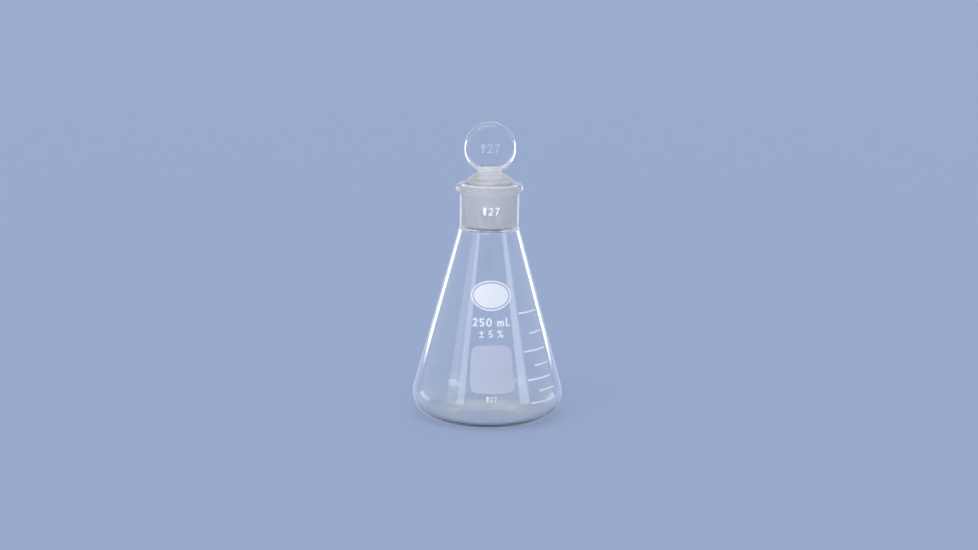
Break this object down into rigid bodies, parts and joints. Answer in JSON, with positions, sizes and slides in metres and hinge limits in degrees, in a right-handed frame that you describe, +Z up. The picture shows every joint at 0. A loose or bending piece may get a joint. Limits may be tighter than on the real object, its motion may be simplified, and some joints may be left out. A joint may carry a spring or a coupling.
{
  "type": "conical flask with ground stopper",
  "caption": "Clear conical laboratory flask with graduations, a writing patch and a ground-glass neck, closed by a hollow ground stopper with a flat round head.",
  "frame": {"origin": "centre of the base, on the surface that the flask stands on", "axes": "+Z up along the flask's axis; the printed front faces -Y, and so does the flat of the stopper's head"},
  "size_m": [0.08, 0.08, 0.1591],
  "materials": {
    "flask_glass": "fire polished",
    "socket_glass": "ground inside",
    "ground_glass": "ground",
    "stopper_glass": "pressed, polished",
    "enamel": "fired white enamel",
    "writing_enamel": "matt fired enamel"
  },
  "bodies": {
    "flask": {"flask_body": "flask_glass", "neck_socket": "socket_glass", "oval_badge": "enamel", "capacity_mark": "enamel", "tolerance_mark": "enamel", "writing_patch": "writing_enamel", "stopper_number_mark": "enamel", "graduation_long_lines": "enamel", "graduation_short_lines": "enamel", "socket_size_mark": "enamel"},
    "stopper": {"stopper_plug": "ground_glass", "stopper_shoulder": "stopper_glass", "stopper_head": "stopper_glass", "stopper_size_mark": "enamel"}
  },
  "joints": [
    {"name": "stopper_lift", "type": "slide", "parent": "flask", "child": "stopper", "axis": [0, 0, 1], "range_m": [0, 0.08]}
  ]
}
